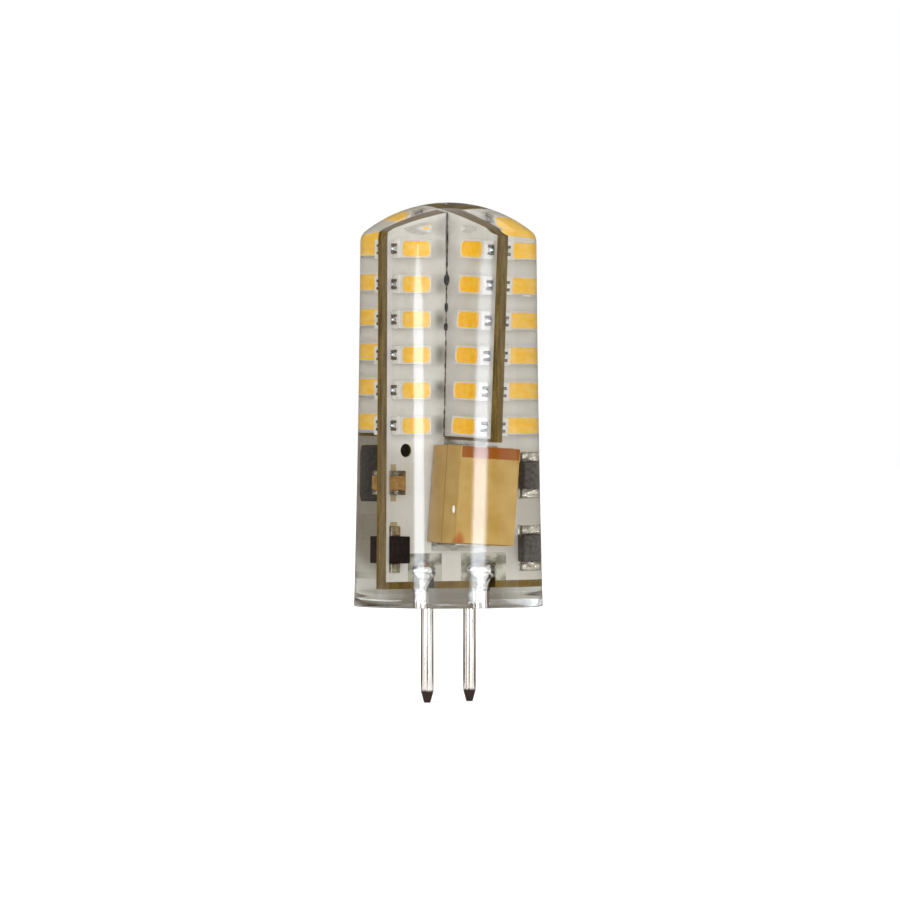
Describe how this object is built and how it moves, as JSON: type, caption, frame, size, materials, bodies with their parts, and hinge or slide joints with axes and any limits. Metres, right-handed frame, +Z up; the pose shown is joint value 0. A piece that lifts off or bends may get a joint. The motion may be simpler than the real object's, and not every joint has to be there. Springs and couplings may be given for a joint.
{
  "type": "led capsule bulb",
  "caption": "Clear silicone capsule bulb on two plug pins, with crossed white circuit boards, warm light-emitting diodes and a small driver potted inside.",
  "frame": {"origin": "centre of the silicone base's underside, midway between the two plug pins", "axes": "+Z up along the bulb to its domed crown, with the pins pointing down; +X along the row of pins and the main board; -Y towards the main board's front, which carries the capacitor"},
  "size_m": [0.0142, 0.0142, 0.0372],
  "materials": {
    "clear_silicone": "gloss",
    "white_board": "satin",
    "solder": "satin",
    "plated_pin": "polished",
    "led_housing": "satin",
    "led_phosphor": "satin",
    "ochre_moulding": "satin",
    "black_moulding": "satin",
    "brown_ceramic": "satin",
    "tinned_metal": "satin"
  },
  "bodies": {
    "root": {"board_solder": "solder", "capacitor_body": "ochre_moulding", "capacitor_terminal_bottom": "tinned_metal", "capacitor_terminal_top": "tinned_metal", "chip_back_body": "brown_ceramic", "chip_back_ends": "tinned_metal", "chip_front_body": "brown_ceramic", "chip_front_ends": "tinned_metal", "cross_board": "white_board", "diode_back_body": "black_moulding", "diode_back_leads": "tinned_metal", "diode_front_left_body": "black_moulding", "diode_front_left_leads": "tinned_metal", "diode_front_right_lower_body": "black_moulding", "diode_front_right_lower_leads": "tinned_metal", "diode_front_right_upper_body": "black_moulding", "diode_front_right_upper_leads": "tinned_metal", "driver_body": "black_moulding", "driver_leads": "tinned_metal", "inductor_body": "black_moulding", "inductor_terminals": "tinned_metal", "led_housings_cross_left_left": "led_housing", "led_housings_cross_left_right": "led_housing", "led_housings_cross_right_left": "led_housing", "led_housings_cross_right_right": "led_housing", "led_housings_main_back_left": "led_housing", "led_housings_main_back_right": "led_housing", "led_housings_main_front_left": "led_housing", "led_housings_main_front_right": "led_housing", "led_phosphor_cross_left_left": "led_phosphor", "led_phosphor_cross_left_right": "led_phosphor", "led_phosphor_cross_right_left": "led_phosphor", "led_phosphor_cross_right_right": "led_phosphor", "led_phosphor_main_back_left": "led_phosphor", "led_phosphor_main_back_right": "led_phosphor", "led_phosphor_main_front_left": "led_phosphor", "led_phosphor_main_front_right": "led_phosphor", "main_board": "white_board", "pin_left": "plated_pin", "pin_right": "plated_pin", "pin_solder_left": "solder", "pin_solder_right": "solder", "resistor_bodies": "black_moulding", "resistor_ends": "tinned_metal", "silicone_body": "clear_silicone"}
  },
  "joints": []
}
